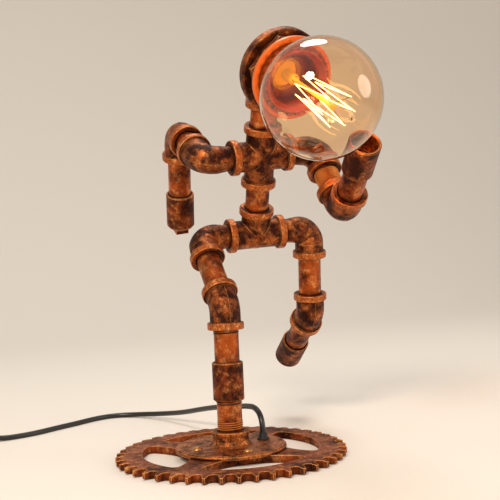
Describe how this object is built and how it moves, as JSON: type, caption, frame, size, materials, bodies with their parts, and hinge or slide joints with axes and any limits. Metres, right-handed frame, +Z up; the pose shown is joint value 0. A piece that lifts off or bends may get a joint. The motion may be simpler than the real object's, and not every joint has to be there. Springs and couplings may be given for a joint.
{
  "type": "robot-shaped desk lamp",
  "caption": "Desk lamp shaped like a running robot, built of iron pipe fittings on a sprocket base, with a globe bulb for a face and turning waist, neck, arms and leg",
  "frame": {"origin": "on the table, under the middle of the sprocket base", "axes": "+Z up, the robot runs and looks towards -Y, its hips lie along X"},
  "size_m": [0.432, 0.3981, 0.3557],
  "materials": {
    "cast_fitting": "antique copper wash over rough cast iron",
    "steel_pipe": "antique copper wash over smooth pipe",
    "steel_coupling": "antique copper wash",
    "sprocket_steel": "weathered copper wash over steel plate",
    "screw_steel": "bright steel",
    "rubber_black": "matte",
    "lead_sheath": "matte",
    "cord_sheath": "satin",
    "plug_plastic": "satin",
    "rocker_plastic": "satin",
    "holder_plastic": "satin",
    "holder_brass": "satin",
    "ring_plastic": "copper lacquer",
    "cap_brass": "satin",
    "bulb_glass": "clear",
    "stem_glass": "clear",
    "filament_metal": "glowing wire"
  },
  "bodies": {
    "base": {"base_sprocket": "sprocket_steel", "floor_flange": "cast_fitting", "flange_screws": "screw_steel", "cord_relief": "rubber_black", "leg_nipple_lower": "steel_pipe", "leg_coupling": "steel_coupling", "leg_nipple_upper": "steel_pipe", "left_knee_elbow": "cast_fitting", "left_thigh_nipple": "steel_pipe", "left_hip_elbow": "cast_fitting", "hip_tee": "cast_fitting", "torso_nipple": "steel_pipe", "lead_leg": "lead_sheath", "cord_run": "cord_sheath", "cord_link": "cord_sheath", "cord_coil": "cord_sheath", "switch_housing": "plug_plastic", "mains_plug": "plug_plastic"},
    "chest": {"chest_cross": "cast_fitting", "neck_nipple": "steel_pipe", "lead_torso": "lead_sheath"},
    "head": {"head_elbow": "cast_fitting", "head_bushing": "cast_fitting", "lampholder_body": "holder_plastic", "lampholder_shell": "holder_brass", "lampholder_contact": "holder_brass", "rear_shade_ring": "ring_plastic", "front_shade_ring": "ring_plastic", "bulb_cap": "cap_brass", "bulb_glass": "bulb_glass", "bulb_stem": "stem_glass", "bulb_filament": "filament_metal", "filament_hooks": "filament_metal", "lead_head": "lead_sheath"},
    "left_upper_arm": {"left_shoulder_elbow": "cast_fitting", "left_arm_nipple": "steel_pipe"},
    "left_forearm": {"left_elbow": "cast_fitting", "left_forearm_nipple": "steel_pipe", "left_hand_coupling": "steel_coupling", "left_hand_plug": "cast_fitting"},
    "right_upper_arm": {"right_shoulder_elbow": "cast_fitting", "right_arm_nipple": "steel_pipe"},
    "right_forearm": {"right_elbow": "cast_fitting", "right_forearm_nipple": "steel_pipe", "right_hand_coupling": "steel_coupling"},
    "right_thigh": {"right_hip_elbow": "cast_fitting", "right_thigh_nipple": "steel_pipe"},
    "right_shin": {"right_knee_elbow": "cast_fitting", "right_shin_nipple": "steel_pipe", "right_foot_coupling": "steel_coupling"},
    "rocker": {"switch_rocker": "rocker_plastic"}
  },
  "joints": [
    {"name": "waist_turn", "type": "hinge", "parent": "base", "child": "chest", "pos_m": [0.04873, 0.03389, 0.2328], "axis": [-0.0662, -0.445, 0.8931], "range_deg": [-45, 45]},
    {"name": "neck_turn", "type": "hinge", "parent": "chest", "child": "head", "pos_m": [0.04381, 0.00082, 0.29915], "axis": [-0.0662, -0.445, 0.8931], "range_deg": [-90, 0]},
    {"name": "left_shoulder_swing", "type": "hinge", "parent": "chest", "child": "left_upper_arm", "pos_m": [-0.00675, 0.02141, 0.25421], "axis": [0.9974, -0.0025, 0.0727], "range_deg": [-25, 60]},
    {"name": "left_elbow_swing", "type": "hinge", "parent": "left_upper_arm", "child": "left_forearm", "pos_m": [-0.00895, 0.08363, 0.28642], "axis": [-0.0313, 0.8876, 0.4595], "range_deg": [-90, 90]},
    {"name": "right_shoulder_swing", "type": "hinge", "parent": "chest", "child": "right_upper_arm", "pos_m": [0.10096, 0.02114, 0.26206], "axis": [0.9974, -0.0025, 0.0727], "range_deg": [0, 40]},
    {"name": "right_elbow_swing", "type": "hinge", "parent": "right_upper_arm", "child": "right_forearm", "pos_m": [0.10507, -0.02356, 0.20411], "axis": [0.0561, -0.6098, -0.7906], "range_deg": [-75, 0]},
    {"name": "right_hip_swing", "type": "hinge", "parent": "base", "child": "right_thigh", "pos_m": [0.10544, 0.05305, 0.19168], "axis": [0.9976, -0.0493, 0.0493], "range_deg": [-60, 40]},
    {"name": "right_knee_turn", "type": "hinge", "parent": "right_thigh", "child": "right_shin", "pos_m": [0.11021, 0.06908, 0.1112], "axis": [0.0581, 0.195, -0.9791], "range_deg": [-90, 90]},
    {"name": "switch_press", "type": "hinge", "parent": "base", "child": "rocker", "pos_m": [-0.235, 0.1765, 0.0115], "axis": [0, 1, 0], "range_deg": [-16, 0]}
  ]
}
